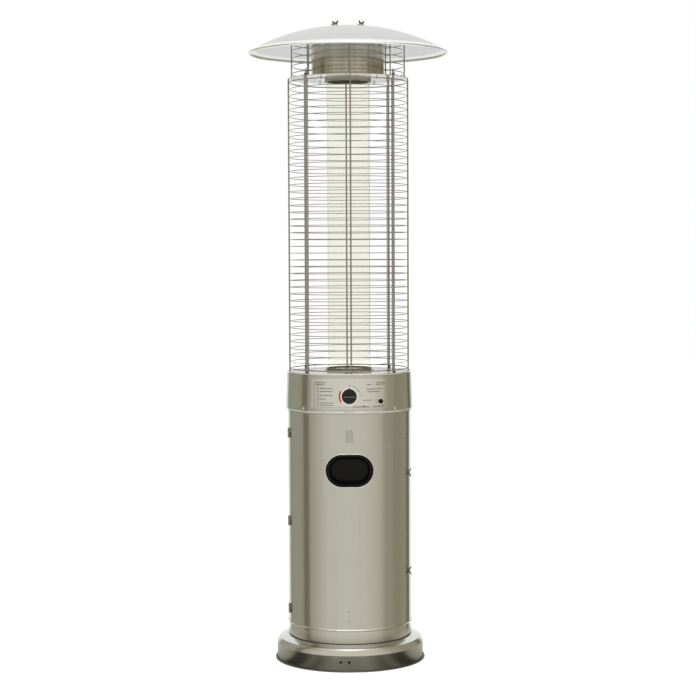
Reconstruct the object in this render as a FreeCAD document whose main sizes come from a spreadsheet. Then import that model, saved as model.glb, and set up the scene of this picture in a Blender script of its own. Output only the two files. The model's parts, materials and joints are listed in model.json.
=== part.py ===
"""Free-standing gas heater with a glass flame tube: a parametric FreeCAD document.

Millimetres. +Z is up, the front (door, knob) faces -Y, and the origin is the centre of the base at the floor.
Angles round the vertical axis are in degrees from the front, positive towards +X.
Every sub-part is one document object whose Label is the name of its file in parts/.
"""
import FreeCAD
import Part
import Sketcher
import math
import os

Vector = FreeCAD.Vector
Rotation = FreeCAD.Rotation

DRIVING_SIZES = {
    # base and collar
    "steel": 1.2, "base_radius": 208.0, "base_wall_top": 45.0, "base_shoulder": 180.0, "base_top": 70.4,
    "base_bend": 25.0, "base_lip_radius": 211.1, "base_lip_bead": 2.5, "collar_radius": 174.0,
    "floor_sheet": 1.6, "floor_radius": 171.0, "bottle_seat_radius": 150.0, "bottle_seat_rise": 1.2,
    "base_hole_radius": 3.5, "base_hole_height": 28.0,
    # gas bottle bay
    "shell_radius": 175.4, "shell_foot": 111.5, "shell_head": 710.5, "shell_sheet": 1.0, "door_half_angle": 73.0,
    "seam_gap": 0.35, "bay_top": 713.4, "collar_top": 107.0, "lining_radius": 174.1, "post_tube_radius": 6.0, "post_circle": 165.5,
    # recessed handle
    "handle_height": 555.0, "handle_width": 132.0, "handle_rise": 89.3, "handle_depth": 24.0,
    "handle_floor_width": 101.0, "handle_floor_rise": 59.0,
    # hinges and wing screws
    "hinge_radius": 179.4, "hinge_angle": 73.5, "hinge_rise": 27.0, "pin_radius": 1.5, "knuckle_radius": 3.0,
    "hinge_low": 150.0, "hinge_mid": 400.0, "hinge_high": 650.0,
    "screw_low": 258.0, "screw_high": 537.0, "screw_angle": 69.6,
    # control housing
    "housing_foot": 716.0, "housing_head": 818.9, "housing_foot_radius": 181.0, "housing_head_radius": 177.9,
    "plate_top": 823.0, "label_low": 728.0, "label_high": 810.0, "label_sheet": 0.7, "label_arc": 71.0,
    "knob_height": 762.0, "knob_radius": 21.0, "knob_base": 185.2, "stem_radius": 4.0,
    "igniter_angle": 28.4, "igniter_height": 747.0, "button_radius": 5.65, "running_gap": 0.08,
    # flame tube and guard
    "glass_radius": 61.0, "glass_wall": 3.0, "glass_foot": 825.0, "glass_head": 1650.0, "burner_radius": 56.0,
    "guard_ring_radius": 165.6, "guard_wire": 1.0, "guard_bar_radius": 168.55, "guard_bar": 2.25,
    "guard_low": 829.5, "guard_high": 1637.0, "guard_turn": 2.0, "guard_ring_count": 43.0,
    "post_radius": 3.0, "post_ring": 170.8, "post_foot": 812.0, "post_head": 1664.0, "nut_flats": 8.0,
    # reflector
    "shelf_foot": 1646.0, "shelf_sheet": 1.4, "shelf_radius": 170.0, "exhaust_radius": 103.4, "exhaust_head": 1750.0,
    "upper_ring_radius": 159.4, "upper_ring_low": 1661.0, "upper_pitch": 21.2, "upper_wire": 1.2, "upper_bar": 1.9,
    "dome_sphere": 569.5, "dome_radius": 280.0, "dome_apex": 1795.0, "dome_sheet": 1.0, "dome_bead": 3.0,
    "stud_ring": 52.0, "stud_radius": 3.0, "top": 1806.0,
}


class Size:
    """A length known both as a number and as a formula over the sheet's cells."""

    def __init__(self, value, formula=None):
        self.value = float(value)
        self.formula = formula if formula is not None else f"({value:.6g})"

    def combine(self, other, sign, value):
        return Size(value(self.value, other.value), f"({self.formula} {sign} {other.formula})")

    def __add__(self, other):
        return self.combine(size(other), "+", lambda a, b: a + b)

    def __sub__(self, other):
        return self.combine(size(other), "-", lambda a, b: a - b)

    def __mul__(self, other):
        return self.combine(size(other), "*", lambda a, b: a * b)

    def __truediv__(self, other):
        return self.combine(size(other), "/", lambda a, b: a / b)

    def __radd__(self, other):
        return size(other) + self

    def __rsub__(self, other):
        return size(other) - self

    def __rmul__(self, other):
        return size(other) * self

    def __neg__(self):
        return Size(0) - self

    def __float__(self):
        return self.value


def size(value):
    return value if isinstance(value, Size) else Size(value)


def turned(function, amount, angle):
    """amount times the sine or cosine of an angle in degrees."""
    amount, angle = size(amount), size(angle)
    value = amount.value * getattr(math, function)(math.radians(angle.value))
    return Size(value, f"({amount.formula} * {function}({angle.formula} * 1 deg))")


def sphere_height(radius, sphere_radius, apex):
    """Height of a spherical cap's surface at a distance from its axis."""
    radius, sphere_radius = size(radius), size(sphere_radius)
    root = Size(math.sqrt(sphere_radius.value ** 2 - radius.value ** 2),
                f"sqrt({sphere_radius.formula} ^ 2 - {radius.formula} ^ 2)")
    return size(apex) - sphere_radius + root


class Sizes:
    """The spreadsheet of driving dimensions, read as attributes."""

    def __init__(self, doc):
        self.sheet = doc.addObject("Spreadsheet::Sheet", "Sizes")
        for row, (alias, value) in enumerate(DRIVING_SIZES.items(), start=1):
            self.sheet.set(f"A{row}", alias)
            self.sheet.set(f"B{row}", str(value))
            self.sheet.setAlias(f"B{row}", alias)

    def __getattr__(self, alias):
        return Size(DRIVING_SIZES[alias], f"Sizes.{alias}")


doc = FreeCAD.newDocument("GlassTubeHeater")
S = Sizes(doc)
doc.recompute()
parts = []


# ---------------------------------------------------------------- helpers

def keep(item, name):
    """Take an object as a finished sub-part under its node's name."""
    item.Label = name
    parts.append(item)
    return item


def new_body(name):
    return keep(doc.addObject("PartDesign::Body", name), name)


def origin_part(body, role):
    return next(feature for feature in body.Origin.OriginFeatures if feature.Role == role)


def new_sketch(body, plane="XZ_Plane", offset=0):
    """A sketch on one of the body's own planes, moved along that plane's normal."""
    sketch = body.newObject("Sketcher::SketchObject", f"{body.Name}_outline")
    sketch.AttachmentSupport = [(origin_part(body, plane), "")]
    sketch.MapMode = "FlatFace"
    sketch.setExpression(".AttachmentOffset.Base.z", size(offset).formula)
    return sketch


def fix_point(sketch, geometry, end, point):
    """Tie one end of a line or arc, or a circle's centre, to its two coordinates."""
    for kind, amount in zip(("DistanceX", "DistanceY"), point):
        index = sketch.addConstraint(Sketcher.Constraint(kind, -1, 1, geometry, end, amount.value))
        sketch.setExpression(f"Constraints[{index}]", amount.formula)


def arc_between(start, finish, radius):
    """An arc from start to finish, left-hand turning for a positive radius, right-hand for a negative one."""
    a, b = Vector(*start), Vector(*finish)
    half = (b - a) * 0.5
    rise = math.sqrt(max(radius * radius - half.Length ** 2, 0))
    side = Vector(-half.y, half.x, 0).normalize() * rise * math.copysign(1, radius)
    centre = a + half + side
    first, last = (a, b) if radius > 0 else (b, a)
    angles = [math.atan2(p.y - centre.y, p.x - centre.x) for p in (first, last)]
    return Part.ArcOfCircle(Part.Circle(centre, Vector(0, 0, 1), abs(radius)), *angles)


def outline(sketch, points, arcs=None):
    """A closed outline through points; arcs gives the signed radius of the edge that leaves a point."""
    arcs = arcs or {}
    points = [(size(x), size(y)) for x, y in points]
    plain = [(x.value, y.value, 0) for x, y in points]
    first = sketch.GeometryCount
    ends = []
    for index, start in enumerate(plain):
        finish = plain[(index + 1) % len(plain)]
        if index in arcs:
            sketch.addGeometry(arc_between(start, finish, float(arcs[index])), False)
            ends.append((1, 2) if float(arcs[index]) > 0 else (2, 1))
        else:
            sketch.addGeometry(Part.LineSegment(Vector(*start), Vector(*finish)), False)
            ends.append((1, 2))
    for index in range(len(points)):
        following = (index + 1) % len(points)
        sketch.addConstraint(Sketcher.Constraint("Coincident", first + index, ends[index][1],
                                                 first + following, ends[following][0]))
        fix_point(sketch, first + index, ends[index][0], points[index])
    for index, radius in arcs.items():
        radius = size(radius) if float(radius) > 0 else -size(radius)
        constraint = sketch.addConstraint(Sketcher.Constraint("Radius", first + index, radius.value))
        sketch.setExpression(f"Constraints[{constraint}]", radius.formula)


def circle(sketch, radius, x=0, y=0):
    radius = size(radius)
    centre = (size(x), size(y))
    index = sketch.addGeometry(
        Part.Circle(Vector(centre[0].value, centre[1].value, 0), Vector(0, 0, 1), radius.value), False)
    fix_point(sketch, index, 3, centre)
    constraint = sketch.addConstraint(Sketcher.Constraint("Radius", index, radius.value))
    sketch.setExpression(f"Constraints[{constraint}]", radius.formula)


def rectangle(sketch, x0, x1, y0, y1):
    outline(sketch, [(x0, y0), (x1, y0), (x1, y1), (x0, y1)])


def stadium(sketch, width, rise, y=0):
    """A slot shape whose ends are half circles, centred on x = 0."""
    half, radius, y = (size(width) - rise) / 2, size(rise) / 2, size(y)
    geometry = sketch.GeometryCount
    points = [(-half, y - radius), (half, y - radius), (half, y + radius), (-half, y + radius)]
    plain = [Vector(p[0].value, p[1].value, 0) for p in points]
    sketch.addGeometry(Part.LineSegment(plain[0], plain[1]), False)
    sketch.addGeometry(arc_between(tuple(plain[1]), tuple(plain[2]), radius.value * 1.00001), False)
    sketch.addGeometry(Part.LineSegment(plain[2], plain[3]), False)
    sketch.addGeometry(arc_between(tuple(plain[3]), tuple(plain[0]), radius.value * 1.00001), False)
    for index in range(4):
        sketch.addConstraint(Sketcher.Constraint("Tangent", geometry + index, 2, geometry + (index + 1) % 4, 1))
    fix_point(sketch, geometry, 1, points[0])
    fix_point(sketch, geometry + 1, 1, points[1])
    top = sketch.addConstraint(Sketcher.Constraint("DistanceY", -1, 1, geometry + 2, 1, points[2][1].value))
    sketch.setExpression(f"Constraints[{top}]", points[2][1].formula)


def finish(body, feature):
    body.Tip = feature
    doc.recompute()
    return feature


def revolve(body, sketch, angle=360, axis="V_Axis", side=0):
    """Turn a sketch about an axis of its own: half the angle to each side, or all of it to one side."""
    feature = body.newObject("PartDesign::Revolution", f"{body.Name}_Revolution")
    feature.Profile = sketch
    feature.ReferenceAxis = (sketch, [axis])
    feature.Midplane = side == 0 and float(angle) < 360
    feature.Reversed = side > 0
    feature.setExpression("Angle", size(angle).formula)
    sketch.Visibility = False
    return finish(body, feature)


def pad(body, sketch, length, both_ways=False):
    feature = body.newObject("PartDesign::Pad", f"{body.Name}_Pad")
    feature.Profile = sketch
    feature.setExpression("Length", size(length).formula)
    feature.SideType = "Symmetric" if both_ways else "One side"
    return finish(body, feature)


def pocket(body, sketch, length=None, reverse=False, taper=0):
    """Cut a sketch into the body, through everything when no length is given; it must remove material."""
    before = body.Shape.Volume
    feature = body.newObject("PartDesign::Pocket", f"{body.Name}_Pocket")
    feature.Profile = sketch
    feature.Reversed = reverse
    if length is None:
        feature.Type = "ThroughAll"
    else:
        feature.setExpression("Length", size(length).formula)
    feature.TaperAngle = taper
    finish(body, feature)
    if body.Shape.Volume > before - 0.1:
        raise RuntimeError(f"{feature.Name} cut nothing")
    return feature


def repeat_round(body, features, count):
    """A full polar pattern of one or more features about the body's vertical axis."""
    pattern = body.newObject("PartDesign::PolarPattern", f"{body.Name}_Pattern")
    pattern.Originals = features if isinstance(features, list) else [features]
    pattern.Axis = (origin_part(body, "Z_Axis"), [""])
    pattern.Angle = 360
    pattern.Occurrences = count
    return finish(body, pattern)


def bind_base(item, point):
    for name, amount in zip("xyz", point):
        item.setExpression(f".Placement.Base.{name}", size(amount).formula)


def face_angle(item, angle=0, height=0):
    """Turn an item about the vertical axis so that its own +X points at an angle from the front."""
    item.Placement = FreeCAD.Placement(Vector(0, 0, 0), Rotation(Vector(0, 0, 1), float(angle) - 90))
    bind_base(item, (0, 0, height))


def stand_out(item, angle, radius, height):
    """Place an item so that its own +Z points outwards at an angle and its own +Y points up."""
    turn = Rotation(Vector(0, 0, 1), float(angle)).multiply(Rotation(Vector(1, 0, 0), 90))
    item.Placement = FreeCAD.Placement(Vector(0, 0, 0), turn)
    bind_base(item, (turned("sin", radius, angle), -turned("cos", radius, angle), height))


def ring_body(name, points, arcs=None, angle=360, centre_angle=90, beads=()):
    """A turned part: an outline of radius and height points, and round beads (radius, height, bead radius)."""
    body = new_body(name)
    sketch = new_sketch(body)
    outline(sketch, points, arcs)
    revolve(body, sketch, angle)
    for bead_ring, bead_height, bead_radius in beads:
        bead = new_sketch(body)
        circle(bead, bead_radius, bead_ring, bead_height)
        revolve(body, bead, angle)
    face_angle(body, centre_angle)
    return body


def box_ring(name, inner, outer, low, high, **options):
    return ring_body(name, [(inner, low), (outer, low), (outer, high), (inner, high)], **options)


def turned_round_line(body, outline_points, start, finish, count):
    """A small turned piece about the line from start to finish, repeated round the main axis."""
    sketch = new_sketch(body)
    outline(sketch, outline_points)
    ends = [(size(x), size(y)) for x, y in (start, finish)]
    sketch.addGeometry(Part.LineSegment(*[Vector(x.value, y.value, 0) for x, y in ends]), True)
    for end, point in enumerate(ends, start=1):
        fix_point(sketch, len(outline_points), end, point)
    repeat_round(body, revolve(body, sketch, axis="Axis0"), count)


def add_upright(body, ring, outline_points, count=4):
    """Equal pieces standing on a circle; the outline is (distance from own axis, height)."""
    points = [(size(ring) + radius, height) for radius, height in outline_points]
    turned_round_line(body, points, (ring, 0), (ring, 10), count)


def add_radial(body, height, outline_points, count=4):
    """Equal pieces that point outwards; the outline is (distance from the main axis, own radius)."""
    points = [(radius, size(height) + own) for radius, own in outline_points]
    turned_round_line(body, points, (0, height), (10, height), count)


def upright_turned(name, ring, outline_points, first_angle):
    body = new_body(name)
    add_upright(body, ring, outline_points)
    face_angle(body, first_angle)
    return body


def pan_screw(seat, head=4.0, rise=2.2, shank=2.0, depth=8.0):
    """Outline of a pan-head screw whose head sits on a surface at the distance seat."""
    seat = size(seat)
    return [(seat - depth, 0), (seat - depth, shank), (seat, shank), (seat, head), (seat + rise * 0.55, head * 0.92),
            (seat + rise, head * 0.45), (seat + rise, 0)]


def turned_piece(name, points):
    """A part turned about its own +Z axis."""
    body = new_body(name)
    sketch = new_sketch(body)
    outline(sketch, points)
    revolve(body, sketch)
    return body


def shape_part(name, shape):
    """A sub-part whose shape is worked out with Part's own functions."""
    item = doc.addObject("Part::Feature", name)
    item.Shape = shape
    item.Placement = FreeCAD.Placement()
    return keep(item, name)


def pipe_shape(points, radius, bend):
    """A round pipe along straight runs joined by tangent arcs."""
    edges = []
    corner_start = Vector(*points[0])
    for before, corner, after in zip(points, points[1:], points[2:]):
        before, corner, after = Vector(*before), Vector(*corner), Vector(*after)
        inward, outward = (before - corner).normalize(), (after - corner).normalize()
        half = inward.getAngle(outward) / 2
        reach = bend / math.tan(half)
        arc_from, arc_to = corner + inward * reach, corner + outward * reach
        centre = corner + (inward + outward).normalize() * (bend / math.sin(half))
        middle = centre + (corner - centre).normalize() * bend
        edges.append(Part.LineSegment(corner_start, arc_from).toShape())
        edges.append(Part.Arc(arc_from, middle, arc_to).toShape())
        corner_start = arc_to
    edges.append(Part.LineSegment(corner_start, Vector(*points[-1])).toShape())
    wire = Part.Wire(edges)
    direction = Vector(*points[1]) - Vector(*points[0])
    profile = Part.Wire(Part.makeCircle(radius, Vector(*points[0]), direction))
    pipe = wire.makePipeShell([profile], True, False)
    expected = math.pi * radius ** 2 * wire.Length
    if abs(pipe.Volume - expected) > expected * 0.02:
        raise RuntimeError("a pipe's volume differs from its section times its length")
    return pipe


# ---------------------------------------------------------------- base and collar

def make_base():
    inner = S.base_radius - S.steel
    bend_drop = S.base_bend * (1 - math.cos(math.radians(45)))
    bend_rise = S.base_bend * math.sin(math.radians(45))
    inner_bend = S.base_bend - S.steel
    inner_drop = inner_bend * (1 - math.cos(math.radians(45)))
    inner_rise = inner_bend * math.sin(math.radians(45))
    base = ring_body(
        "base_shell",
        [(inner, 0), (S.base_lip_radius, 0), (S.base_lip_radius, S.steel), (S.base_radius, S.steel),
         (S.base_radius, S.base_wall_top), (S.base_radius - bend_drop, S.base_wall_top + bend_rise),
         (S.base_shoulder, S.base_top), (155, S.base_top), (155, S.base_top - S.steel),
         (S.base_shoulder - 0.5, S.base_top - S.steel), (inner - inner_drop, S.base_wall_top + inner_rise),
         (inner, S.base_wall_top)],
        arcs={4: S.base_bend, 10: -inner_bend},
        beads=[(S.base_lip_radius, S.base_lip_bead, S.base_lip_bead)], centre_angle=0)
    holes = new_sketch(base, "YZ_Plane")
    for across in (-26.5, -3.0):
        circle(holes, S.base_hole_radius, across, S.base_hole_height)
    pocket(base, holes, length=260, reverse=True)

    floor_top = S.base_top + S.floor_sheet
    seat, rise = S.bottle_seat_radius, S.bottle_seat_rise
    ring_body("base_plate",
              [(0, S.base_top + rise), (seat - 2, S.base_top + rise), (seat, S.base_top), (S.floor_radius, S.base_top),
               (S.floor_radius, floor_top), (seat + 1, floor_top), (seat - 1, floor_top + rise),
               (0, floor_top + rise)])

    collar_inner = S.collar_radius - S.steel
    collar = box_ring("base_collar", collar_inner, S.collar_radius, S.base_top + 0.3, S.collar_top, centre_angle=45)
    holes = new_sketch(collar, "YZ_Plane")
    circle(holes, 2.1, 0, 94.5)
    repeat_round(collar, pocket(collar, holes, reverse=True), 4)


# ---------------------------------------------------------------- gas bottle bay

def make_frame():
    lining_inner = S.lining_radius - S.steel
    ring_body("lower_ring",
              [(lining_inner, S.collar_top), (177, S.collar_top), (177, S.collar_top + S.steel),
               (S.lining_radius, S.collar_top + S.steel), (S.lining_radius, 124), (lining_inner, 124)],
              beads=[(177, S.collar_top + 2, 2)])
    ring_body("upper_ring",
              [(lining_inner, 697), (S.lining_radius, 697), (S.lining_radius, 711.4), (176.4, 711.4), (176.4, 712.6),
               (lining_inner, 712.6)])
    tube_inner = S.post_tube_radius - S.steel
    floor_top = S.base_top + S.floor_sheet
    posts = new_body("frame_posts")
    sketch = new_sketch(posts, "XY_Plane", floor_top)
    for angle in (-6, 50, 130, 186):
        centre = (turned("cos", S.post_circle, angle), turned("sin", S.post_circle, angle))
        circle(sketch, S.post_tube_radius, *centre)
        circle(sketch, tube_inner, *centre)
    pad(posts, sketch, S.bay_top - floor_top)


def make_rear_shell():
    inner = S.shell_radius - S.shell_sheet
    rear_arc = 360 - 2 * (S.door_half_angle + S.seam_gap)
    shell = box_ring("rear_shell", inner, S.shell_radius, S.shell_foot, S.shell_head, angle=rear_arc,
                     centre_angle=180)
    for height in (165, 655):
        sketch = new_sketch(shell, "YZ_Plane")
        for column in range(-4, 5):
            across = column * 14
            rectangle(sketch, across - 2.5, across + 2.5, height - 20, height + 20)
        pocket(shell, sketch, reverse=True)


def make_catches():
    """Slotted tabs behind the free edge of the door, fixed to the rear shell, that the wing screws reach into."""
    catch = new_body("latch_catches")
    for height in (S.screw_low, S.screw_high):
        sketch = new_sketch(catch)
        outer = S.shell_radius - S.shell_sheet
        rectangle(sketch, outer - 1.6, outer - 0.1, height - 14, height + 14)
        revolve(catch, sketch, 10)
    face_angle(catch, 73.4)
    slot = new_sketch(catch, "YZ_Plane")
    for height in (S.screw_low, S.screw_high):
        rectangle(slot, -20, -7.5, height - 3.4, height + 3.4)
    pocket(catch, slot, reverse=True)


def make_door():
    inner = S.shell_radius - S.shell_sheet
    door = box_ring("door_shell", inner, S.shell_radius, S.shell_foot + 0.8, S.shell_head - 0.8,
                    angle=2 * S.door_half_angle, centre_angle=0)
    opening = new_sketch(door, "YZ_Plane")
    stadium(opening, S.handle_width - 6, S.handle_rise - 6, S.handle_height)
    pocket(door, opening, reverse=True)
    pocket_at_angle(door, S.screw_angle, (S.screw_low, S.screw_high), 3.1)


def pocket_at_angle(body, angle, heights, radius):
    """Round holes through a wall whose middle is the body's +X, at an angle from that middle."""
    plane = body.newObject("PartDesign::Plane", f"{body.Name}_plane")
    plane.Placement = FreeCAD.Placement(Vector(0, 0, 0), Rotation(Vector(0, 0, 1), float(angle)).multiply(
        origin_part(body, "YZ_Plane").Placement.Rotation))
    sketch = body.newObject("Sketcher::SketchObject", f"{body.Name}_holes")
    sketch.AttachmentSupport = [(plane, "")]
    sketch.MapMode = "FlatFace"
    for height in heights:
        circle(sketch, radius, 0, height)
    return pocket(body, sketch, reverse=True)


def make_handle():
    """Recessed grip: a rim on the door's face and a tapered bowl behind it."""
    body = new_body("door_handle")
    floor_radius = S.shell_radius - S.handle_depth
    low, high = S.handle_height - S.handle_rise / 2, S.handle_height + S.handle_rise / 2
    bowl = new_sketch(body)
    rectangle(bowl, floor_radius - 1.5, S.shell_radius, low, high)
    revolve(body, bowl, 48)
    trim = new_sketch(body, "YZ_Plane")
    rectangle(trim, -120, 120, low - 20, high + 20)
    stadium(trim, S.handle_width - 6.6, S.handle_rise - 6.6, S.handle_height)
    pocket(body, trim, reverse=True)
    rim = new_sketch(body)
    rectangle(rim, S.shell_radius, S.shell_radius + 1.5, low - 2, high + 2)
    revolve(body, rim, 48)
    trim = new_sketch(body, "YZ_Plane")
    rectangle(trim, -120, 120, low - 20, high + 20)
    stadium(trim, S.handle_width, S.handle_rise, S.handle_height)
    pocket(body, trim, reverse=True)
    cavity = new_sketch(body, "YZ_Plane", floor_radius)
    stadium(cavity, S.handle_floor_width, S.handle_floor_rise, S.handle_height)
    slope = math.degrees(math.atan2(float(S.handle_width - 12 - S.handle_floor_width) / 2, float(S.handle_depth)))
    pocket(body, cavity, length=40, reverse=True, taper=slope)
    face_angle(body, 0)


def make_hinges():
    """Three lift-style hinges on the left seam; each pin stands in the fixed knuckle and carries the door knuckle."""
    radius, angle = S.hinge_radius, -S.hinge_angle
    heights = (S.hinge_low, S.hinge_mid, S.hinge_high)
    for name, low, high, side in (("hinge_leaves_fixed", -S.hinge_rise / 2, -0.3, -1),
                                  ("hinge_leaves_door", 0.3, S.hinge_rise / 2, 1)):
        body = new_body(name)
        for height in heights:
            knuckle = new_sketch(body, "XY_Plane", height + low)
            circle(knuckle, S.knuckle_radius, radius)
            circle(knuckle, S.pin_radius + (0.05 if side > 0 else 0), radius)
            pad(body, knuckle, size(high) - low)
            leaf = new_sketch(body)
            rectangle(leaf, S.shell_radius, S.shell_radius + 1.4, height + low, height + high)
            revolve(body, leaf, 3.6, side=-side)
            neck = new_sketch(body, "XY_Plane", height + low)
            rectangle(neck, S.shell_radius + 0.6, radius - 2, side * 0.2, side * 2.6)
            pad(body, neck, size(high) - low)
        face_angle(body, angle)
    pins = new_body("hinge_pins")
    for height in heights:
        sketch = new_sketch(pins, "XY_Plane", height - S.hinge_rise / 2 - 1)
        circle(sketch, S.pin_radius, radius)
        pad(pins, sketch, S.hinge_rise + 2)
    face_angle(pins, angle)


# ---------------------------------------------------------------- wing screws

def make_wing_screw(name, height):
    """A wing screw through the door's free edge; its shank ends in the open slot of the catch."""
    body = new_body(name)
    sketch = new_sketch(body)
    outline(sketch, [(0, -4.2), (2.6, -4.2), (2.6, 0.1), (6.0, 0.1), (6.0, 1.3), (3.4, 1.6), (3.0, 5.0), (0, 5.0)])
    revolve(body, sketch)
    wings = new_sketch(body, "YZ_Plane")
    outline(wings, [(-2.4, 1.4), (2.4, 1.4), (5.6, 2.6), (12.0, 9.6), (10.8, 12.2), (6.0, 8.8), (2.2, 4.8),
                    (-2.2, 4.8), (-6.0, 8.8), (-10.8, 12.2), (-12.0, 9.6), (-5.6, 2.6)])
    pad(body, wings, 2.2, both_ways=True)
    stand_out(body, S.screw_angle, S.shell_radius, height)


# ---------------------------------------------------------------- control housing

def housing_surface(height):
    """Outer radius of the slightly tapered control housing at a height."""
    share = (size(height) - S.housing_foot) / (S.housing_head - S.housing_foot)
    return S.housing_foot_radius - (S.housing_foot_radius - S.housing_head_radius) * share


def make_control_housing():
    housing = ring_body(
        "control_housing",
        [(S.housing_foot_radius - S.steel, S.housing_foot), (S.housing_foot_radius, S.housing_foot),
         (S.housing_head_radius, S.housing_head), (S.housing_head_radius - S.steel, S.housing_head)],
        beads=[(S.housing_foot_radius - 0.3, S.housing_foot + 1.3, 1.3)], centre_angle=0)
    hole = new_sketch(housing, "YZ_Plane")
    circle(hole, 6.5, 0, S.knob_height)
    pocket(housing, hole, reverse=True)
    pocket_at_angle(housing, S.igniter_angle, [S.igniter_height], 7.0)

    floor = ring_body(
        "housing_floor",
        [(24, S.bay_top), (179.0, S.bay_top), (179.0, 735), (177.8, 735), (177.8, S.bay_top + S.steel),
         (24, S.bay_top + S.steel)])
    screws = new_body("panel_screws")
    add_radial(screws, 94.5, pan_screw(S.collar_radius))
    add_radial(screws, 725.5, pan_screw(housing_surface(725.5)))
    face_angle(screws, 45)

    plate = ring_body(
        "top_plate",
        [(57.0, S.plate_top - S.steel), (175.2, S.plate_top - S.steel), (175.2, 800), (176.3, 800),
         (176.3, S.plate_top), (57.0, S.plate_top)],
        beads=[(176.5, S.plate_top - 1.6, 1.6)], centre_angle=47)
    hole = new_sketch(plate, "XY_Plane", 700)
    circle(hole, S.post_radius + 0.15, S.post_ring)
    repeat_round(plate, pocket(plate, hole, length=200, reverse=True), 4)


def make_label():
    low, high = S.label_low, S.label_high
    foot, head = housing_surface(low) + 0.05, housing_surface(high) + 0.05
    label = ring_body("control_label", [(foot, low), (foot + S.label_sheet, low), (head + S.label_sheet, high),
                                        (head, high)], angle=S.label_arc, centre_angle=-0.5)
    hole = new_sketch(label, "YZ_Plane")
    circle(hole, 8.0, turned("sin", 180, 0.5), S.knob_height)
    pocket(label, hole, reverse=True)
    pocket_at_angle(label, S.igniter_angle + 0.5, [S.igniter_height], 7.0)


def make_igniter():
    """Piezo igniter: a barrel behind the panel, its ring nut, and a sprung push button."""
    face = 181.2
    bore = S.button_radius + S.running_gap
    barrel = turned_piece("igniter_body", [(bore, -34), (9, -34), (9, -3.5), (6.8, -3.5), (6.8, 2.2), (bore, 2.2)])
    base = new_sketch(barrel, "XY_Plane", -58)
    circle(base, 9)
    pad(barrel, base, 24.5)
    nut = turned_piece("igniter_ring", [(6.85, 0), (9.2, 0), (9.2, 1.0), (8.4, 1.6), (6.85, 1.6)])
    button = turned_piece("igniter_button", [(0, -20), (S.button_radius, -20), (S.button_radius, 5.4),
                                             (S.button_radius - 1.2, 6.6), (0, 7.0)])
    spring = doc.addObject("Part::Helix", "igniter_coil_path")
    spring.Pitch, spring.Height, spring.Radius = 2.2, 11.0, 3.4
    doc.recompute()
    section = Part.Wire(Part.makeCircle(0.35, Vector(3.4, 0, 0), Vector(0, 1, 0)))
    coil = Part.Wire(spring.Shape.Edges).makePipeShell([section], True, True)
    doc.removeObject(spring.Name)
    coil.translate(Vector(0, 0, -32.5))
    coil_part = shape_part("igniter_spring", Part.makeCompound([coil]))
    for item in (barrel, nut, button, coil_part):
        stand_out(item, S.igniter_angle, face, S.igniter_height)


def make_knob():
    """Control knob on its stem; the clip on the stem carries the push, the knob and stem turn in it."""
    knob = turned_piece("control_knob", [(S.stem_radius, 0), (S.knob_radius, 0), (S.knob_radius, 2.5),
                                         (S.knob_radius - 1.2, 7.5), (S.stem_radius, 7.5)])
    grip = new_sketch(knob, "XY_Plane", 7.5)
    stadium(grip, 38, 9)
    pad(knob, grip, 11)
    crown = new_sketch(knob, "XY_Plane", 7)
    circle(crown, S.knob_radius - 6)
    pad(knob, crown, 2.2)
    pointer = new_sketch(knob, "XY_Plane", 0.0)
    rectangle(pointer, -2.4, 2.4, S.knob_radius - 3, S.knob_radius + 1.6)
    pad(knob, pointer, 6.5)
    socket = new_sketch(knob, "XY_Plane")
    circle(socket, S.stem_radius)
    pocket(knob, socket, length=14, reverse=True)
    stem = turned_piece("valve_stem", [(0, -56), (S.stem_radius, -56), (S.stem_radius, 14), (0, 14)])
    clip = turned_piece("stem_clip", [(S.stem_radius + 0.05, -26), (8, -26), (8, -24.8), (S.stem_radius + 0.05, -24.8)])
    for item in (knob, stem, clip):
        stand_out(item, 0, S.knob_base, S.knob_height)


def make_valve():
    """Gas valve behind the knob, on an angle bracket that stands on the housing floor."""
    valve = new_body("gas_valve")
    block = new_sketch(valve, "XY_Plane", -92)
    rectangle(block, -17, 17, -18, 18)
    pad(valve, block, 44)
    boss = new_sketch(valve, "XY_Plane", -48)
    circle(boss, 10)
    pad(valve, boss, 14)
    bore = new_sketch(valve, "XY_Plane", -34)
    circle(bore, S.stem_radius + S.running_gap)
    pocket(valve, bore, length=26)
    stand_out(valve, 0, S.knob_base, S.knob_height)

    bracket = new_body("valve_bracket")
    plate = new_sketch(bracket, "YZ_Plane", 145.2)
    floor_top = S.bay_top + S.steel
    rectangle(plate, -28, 28, floor_top, 792)
    circle(plate, 10.2, 0, S.knob_height)
    pad(bracket, plate, 1.6)
    foot = new_sketch(bracket, "XY_Plane", floor_top)
    rectangle(foot, 124, 146, -28, 28)
    pad(bracket, foot, 1.6)
    face_angle(bracket, 0)

    inlet = turned_piece("gas_inlet", [(0, -32), (4.5, -32), (4.5, -6), (6, -6), (6, 12), (9, 12), (9, 26),
                                      (0, 26)])
    bore = new_sketch(inlet, "XY_Plane", -32)
    circle(bore, 2.5)
    pocket(inlet, bore, length=30, reverse=True)
    inlet.Placement = FreeCAD.Placement()
    bind_base(inlet, (0, -116, 718))


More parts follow.
